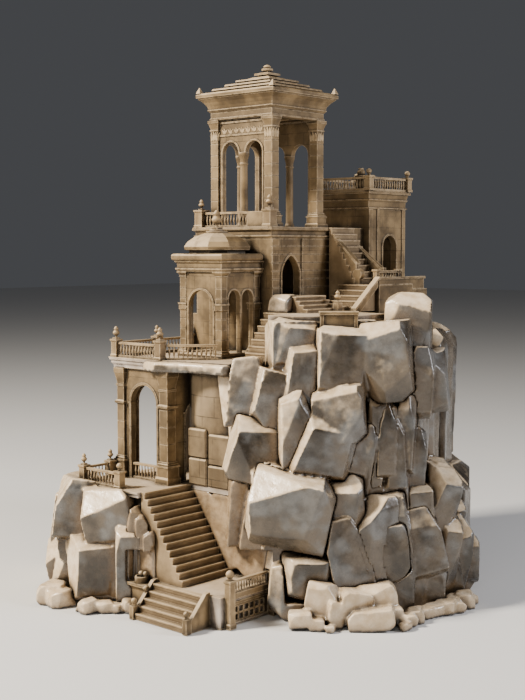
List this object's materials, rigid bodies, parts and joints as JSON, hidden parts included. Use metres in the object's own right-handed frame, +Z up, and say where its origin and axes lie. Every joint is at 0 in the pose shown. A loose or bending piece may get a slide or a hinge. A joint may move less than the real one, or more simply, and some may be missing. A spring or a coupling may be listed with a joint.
{
  "type": "miniature terrain ruin",
  "caption": "Tabletop terrain piece: a rocky crag carrying flights of stairs, balustraded terraces, an arcaded loggia, a domed pavilion, an open belvedere tower and a small house.",
  "frame": {"origin": "centre of the footprint on the table, under the crag", "axes": "+Z up from the table; -Y is the side the entry stairs face; +X is the side the podium door and the house door face"},
  "size_m": [0.3132, 0.3492, 0.4043],
  "materials": {
    "limestone": "matte, painted as warm weathered limestone with brown washes",
    "carved_trim": "matte, painted as limestone with light dry-brushed edges",
    "paving": "matte, painted as pale paving",
    "rock": "matte, painted blue-grey with tan dry-brushed tops",
    "core_resin": "matte, brown undercoat",
    "board": "painted hardboard"
  },
  "bodies": {
    "ruin": {"base_board": "board", "core_lower": "core_resin", "core_middle": "core_resin", "core_upper": "core_resin", "crag_boulders": "rock", "crag_east": "rock", "crag_flutes": "rock", "crag_lower": "rock", "crag_north": "rock", "crag_shards": "rock", "crag_upper": "rock", "crag_west": "rock", "cut_blocks": "limestone", "door_steps": "limestone", "entry_balustrade": "limestone", "entry_cheek_walls": "limestone", "entry_landing": "paving", "entry_lattice": "limestone", "entry_stairs": "limestone", "fountain": "limestone", "house_balustrade": "limestone", "house_cornice": "limestone", "house_lantern": "limestone", "house_walls": "limestone", "loggia_arcades": "limestone", "loggia_columns": "limestone", "lower_terrace_balustrade": "limestone", "lower_terrace_floor": "paving", "main_stairs": "limestone", "middle_stairs": "limestone", "parapet_block": "limestone", "pavilion_entablature": "limestone", "pavilion_piers": "limestone", "pavilion_plinth": "paving", "pavilion_walls": "limestone", "platform_paving": "paving", "podium_cornice": "limestone", "podium_walls": "limestone", "retaining_wall": "limestone", "scree_stones": "rock", "stair_parapets": "limestone", "terrace_ledge": "rock", "terrace_stairs": "limestone", "tower_balustrade": "limestone", "tower_mullions": "limestone", "tower_piers": "limestone", "tower_ring_beam": "limestone", "tower_screens": "limestone", "upper_landing": "paving", "upper_stairs": "limestone", "upper_terrace_balustrade": "limestone", "upper_terrace_slab": "paving", "urns": "carved_trim"},
    "tower_roof": {"tower_roof_cornice": "limestone", "tower_roof_finials": "limestone", "tower_roof_tiers": "limestone"},
    "pavilion_roof": {"pavilion_dome": "limestone", "pavilion_finial": "limestone", "pavilion_roof_slab": "limestone"}
  },
  "joints": [
    {"name": "tower_roof_lift", "type": "slide", "parent": "ruin", "child": "tower_roof", "axis": [0, 0, 1], "range_m": [0, 0.06]},
    {"name": "pavilion_roof_lift", "type": "slide", "parent": "ruin", "child": "pavilion_roof", "axis": [0, 0, 1], "range_m": [0, 0.04]}
  ]
}
